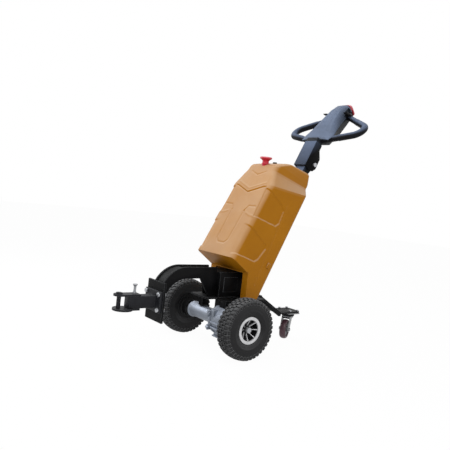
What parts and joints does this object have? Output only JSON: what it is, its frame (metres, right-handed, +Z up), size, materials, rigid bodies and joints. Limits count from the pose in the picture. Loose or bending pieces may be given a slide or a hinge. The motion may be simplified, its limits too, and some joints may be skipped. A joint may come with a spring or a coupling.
{
  "type": "walk-behind electric tug",
  "caption": "Walk-behind electric tug with driven pneumatic tyres, a leaning battery cover, a pin coupler on a gooseneck, a swivel caster and a folding tiller.",
  "frame": {"origin": "on the floor, under the middle of the tug's box", "axes": "+Z up, +X towards the operator, -X towards the coupler, +Y to the tug's left seen from the operator looking ahead"},
  "size_m": [1.3534, 0.553, 1.2805],
  "materials": {
    "black_steel": "semi-gloss black paint with worn edges",
    "zinc": "zinc-plated steel",
    "cast_aluminium": "cast and lightly blasted",
    "hub_steel": "dark painted steel",
    "amber_cover": "semi-gloss amber moulding",
    "battery_case": "plain moulded case",
    "red_plastic": "glossy red moulding",
    "black_plastic": "fine-grained black moulding",
    "grey_plastic": "fine-grained slate moulding",
    "slate_paint": "satin slate paint",
    "tyre_rubber": "matt rubber with block tread",
    "caster_rubber": "maroon polyurethane",
    "caster_core": "grey moulded core"
  },
  "bodies": {
    "chassis": {"base_plate": "black_steel", "chassis_box": "black_steel", "gooseneck_left": "black_steel", "gooseneck_right": "black_steel", "gooseneck_web": "black_steel", "hitch_plate": "black_steel", "drawbar": "black_steel", "coupler_plates": "black_steel", "tow_pin": "black_steel", "coupler_knob": "zinc", "hitch_bolts": "zinc", "transaxle_housing": "cast_aluminium", "axle_shafts": "zinc", "drive_motor": "hub_steel", "axle_saddles": "black_steel", "tiller_column": "black_steel", "cover": "amber_cover", "battery": "battery_case", "estop_base": "red_plastic", "estop_button": "red_plastic", "key_switch": "black_plastic", "cover_latches": "amber_cover", "caster_mount": "zinc", "caster_bolts": "zinc", "hinge_pin": "zinc"},
    "wheel_left": {"tyre_left": "tyre_rubber", "rim_left": "cast_aluminium", "hub_left": "hub_steel"},
    "wheel_right": {"tyre_right": "tyre_rubber", "rim_right": "cast_aluminium", "hub_right": "hub_steel"},
    "caster_swivel": {"caster_fork": "zinc", "caster_axle": "zinc"},
    "caster_roller": {"caster_tread": "caster_rubber", "caster_hub": "caster_core"},
    "tiller": {"tiller_sleeve": "slate_paint", "head_housing": "grey_plastic", "head_shell": "grey_plastic", "bow_handle": "grey_plastic", "end_button": "red_plastic", "thumb_paddles": "black_plastic"}
  },
  "joints": [
    {"name": "wheel_left_spin", "type": "hinge", "parent": "chassis", "child": "wheel_left", "pos_m": [-0.14772, -0.239, 0.138], "axis": [0, 1, 0], "continuous": true},
    {"name": "wheel_right_spin", "type": "hinge", "parent": "chassis", "child": "wheel_right", "pos_m": [-0.14772, 0.239, 0.138], "axis": [0, 1, 0], "continuous": true},
    {"name": "caster_turn", "type": "hinge", "parent": "chassis", "child": "caster_swivel", "pos_m": [0.35578, 0, 0.1], "axis": [0, 0, 1], "continuous": true},
    {"name": "caster_spin", "type": "hinge", "parent": "caster_swivel", "child": "caster_roller", "pos_m": [0.32562, -0.01776, 0.05], "axis": [0.5075, -0.8616, 0], "continuous": true},
    {"name": "tiller_fold", "type": "hinge", "parent": "chassis", "child": "tiller", "pos_m": [0.37995, 0, 0.92053], "axis": [0, 1, 0], "range_deg": [0, 45]}
  ]
}
